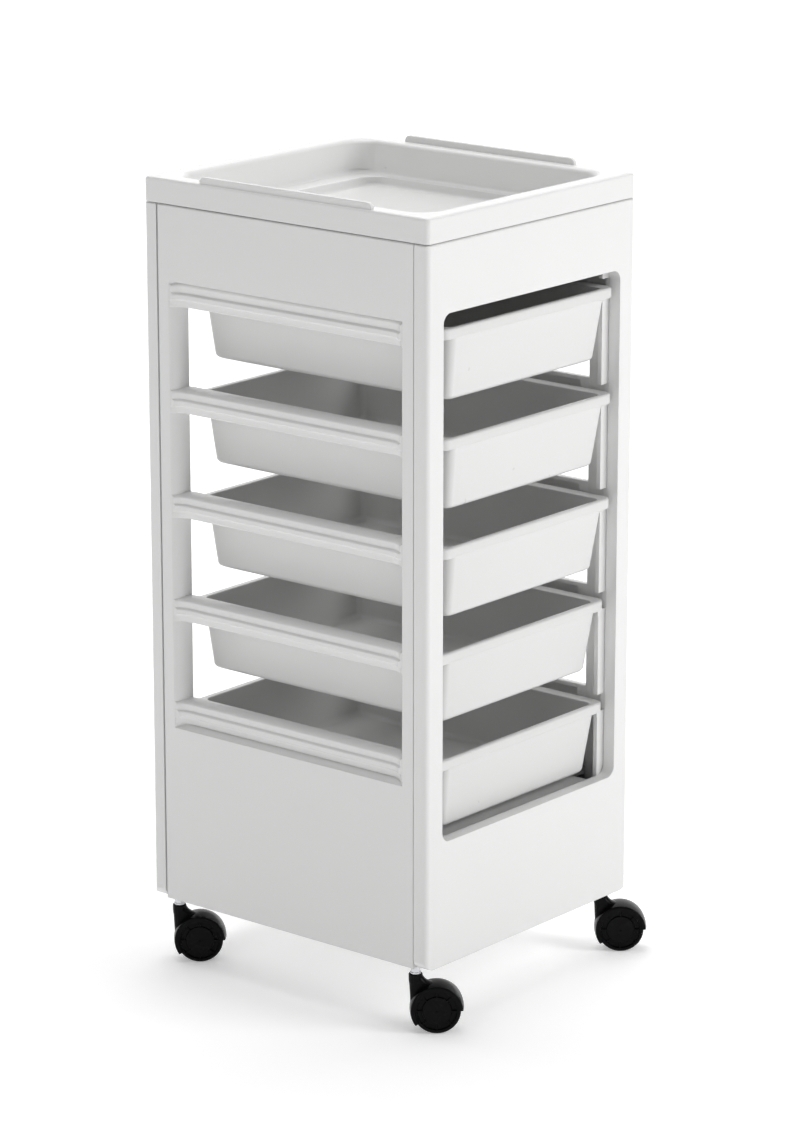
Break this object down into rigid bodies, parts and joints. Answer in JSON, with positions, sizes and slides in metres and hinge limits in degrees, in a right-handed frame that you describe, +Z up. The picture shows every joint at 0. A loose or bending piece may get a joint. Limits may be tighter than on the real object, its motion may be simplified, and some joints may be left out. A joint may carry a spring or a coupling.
{
  "type": "rolling salon trolley",
  "caption": "Rolling salon trolley: an open moulded cabinet with slide-out tray drawers, a recessed top tray with side grips, and twin-wheel swivel castors.",
  "frame": {"origin": "on the floor, under the middle of the cabinet", "axes": "+Z up, the drawers open towards -Y, +X to the right of that front"},
  "size_m": [0.3725, 0.4016, 0.864],
  "materials": {
    "shell": "satin white moulded plastic",
    "drawer": "satin white moulded plastic",
    "castor": "black moulded nylon, slightly glossy",
    "wheel": "black moulded nylon",
    "steel": "zinc-plated"
  },
  "bodies": {
    "cabinet": {"top_tray": "shell", "front_frame": "shell", "rear_frame": "shell", "left_side_panel": "shell", "right_side_panel": "shell", "inner_floor": "shell", "base_plate": "shell", "castor_sockets": "steel", "frame_screws": "steel", "tray_screws": "steel", "base_screws": "steel", "castor_front_left_stem": "steel", "castor_front_left_grip_ring": "steel", "castor_front_right_stem": "steel", "castor_front_right_grip_ring": "steel", "castor_rear_left_stem": "steel", "castor_rear_left_grip_ring": "steel", "castor_rear_right_stem": "steel", "castor_rear_right_grip_ring": "steel"},
    "drawer_1": {"drawer_1": "drawer"},
    "drawer_2": {"drawer_2": "drawer"},
    "drawer_3": {"drawer_3": "drawer"},
    "drawer_4": {"drawer_4": "drawer"},
    "drawer_5": {"drawer_5": "drawer"},
    "front_left_swivel": {"castor_front_left_hood": "castor", "castor_front_left_axle": "steel"},
    "front_left_wheel_inner": {"castor_front_left_wheel_inner": "wheel"},
    "front_left_wheel_outer": {"castor_front_left_wheel_outer": "wheel"},
    "front_right_swivel": {"castor_front_right_hood": "castor", "castor_front_right_axle": "steel"},
    "front_right_wheel_inner": {"castor_front_right_wheel_inner": "wheel"},
    "front_right_wheel_outer": {"castor_front_right_wheel_outer": "wheel"},
    "rear_left_swivel": {"castor_rear_left_hood": "castor", "castor_rear_left_axle": "steel"},
    "rear_left_wheel_inner": {"castor_rear_left_wheel_inner": "wheel"},
    "rear_left_wheel_outer": {"castor_rear_left_wheel_outer": "wheel"},
    "rear_right_swivel": {"castor_rear_right_hood": "castor", "castor_rear_right_axle": "steel"},
    "rear_right_wheel_inner": {"castor_rear_right_wheel_inner": "wheel"},
    "rear_right_wheel_outer": {"castor_rear_right_wheel_outer": "wheel"}
  },
  "joints": [
    {"name": "drawer_1_slide", "type": "slide", "parent": "cabinet", "child": "drawer_1", "axis": [0, -1, 0], "range_m": [-0.007, 0.25]},
    {"name": "drawer_2_slide", "type": "slide", "parent": "cabinet", "child": "drawer_2", "axis": [0, -1, 0], "range_m": [-0.007, 0.25]},
    {"name": "drawer_3_slide", "type": "slide", "parent": "cabinet", "child": "drawer_3", "axis": [0, -1, 0], "range_m": [-0.007, 0.25]},
    {"name": "drawer_4_slide", "type": "slide", "parent": "cabinet", "child": "drawer_4", "axis": [0, -1, 0], "range_m": [0, 0.257]},
    {"name": "drawer_5_slide", "type": "slide", "parent": "cabinet", "child": "drawer_5", "axis": [0, -1, 0], "range_m": [0, 0.257]},
    {"name": "front_left_swivel_turn", "type": "hinge", "parent": "cabinet", "child": "front_left_swivel", "pos_m": [-0.158, -0.165, 0.072], "axis": [0, 0, 1], "continuous": true},
    {"name": "front_left_wheel_inner_spin", "type": "hinge", "parent": "front_left_swivel", "child": "front_left_wheel_inner", "pos_m": [-0.14386, -0.18185, 0.025], "axis": [0.766, 0.6428, 0], "continuous": true},
    {"name": "front_left_wheel_outer_spin", "type": "hinge", "parent": "front_left_swivel", "child": "front_left_wheel_outer", "pos_m": [-0.14386, -0.18185, 0.025], "axis": [0.766, 0.6428, 0], "continuous": true},
    {"name": "front_right_swivel_turn", "type": "hinge", "parent": "cabinet", "child": "front_right_swivel", "pos_m": [0.158, -0.165, 0.072], "axis": [0, 0, 1], "continuous": true},
    {"name": "front_right_wheel_inner_spin", "type": "hinge", "parent": "front_right_swivel", "child": "front_right_wheel_inner", "pos_m": [0.17214, -0.18185, 0.025], "axis": [0.766, 0.6428, 0], "continuous": true},
    {"name": "front_right_wheel_outer_spin", "type": "hinge", "parent": "front_right_swivel", "child": "front_right_wheel_outer", "pos_m": [0.17214, -0.18185, 0.025], "axis": [0.766, 0.6428, 0], "continuous": true},
    {"name": "rear_left_swivel_turn", "type": "hinge", "parent": "cabinet", "child": "rear_left_swivel", "pos_m": [-0.158, 0.165, 0.072], "axis": [0, 0, 1], "continuous": true},
    {"name": "rear_left_wheel_inner_spin", "type": "hinge", "parent": "rear_left_swivel", "child": "rear_left_wheel_inner", "pos_m": [-0.14386, 0.14815, 0.025], "axis": [0.766, 0.6428, 0], "continuous": true},
    {"name": "rear_left_wheel_outer_spin", "type": "hinge", "parent": "rear_left_swivel", "child": "rear_left_wheel_outer", "pos_m": [-0.14386, 0.14815, 0.025], "axis": [0.766, 0.6428, 0], "continuous": true},
    {"name": "rear_right_swivel_turn", "type": "hinge", "parent": "cabinet", "child": "rear_right_swivel", "pos_m": [0.158, 0.165, 0.072], "axis": [0, 0, 1], "continuous": true},
    {"name": "rear_right_wheel_inner_spin", "type": "hinge", "parent": "rear_right_swivel", "child": "rear_right_wheel_inner", "pos_m": [0.17214, 0.14815, 0.025], "axis": [0.766, 0.6428, 0], "continuous": true},
    {"name": "rear_right_wheel_outer_spin", "type": "hinge", "parent": "rear_right_swivel", "child": "rear_right_wheel_outer", "pos_m": [0.17214, 0.14815, 0.025], "axis": [0.766, 0.6428, 0], "continuous": true}
  ]
}
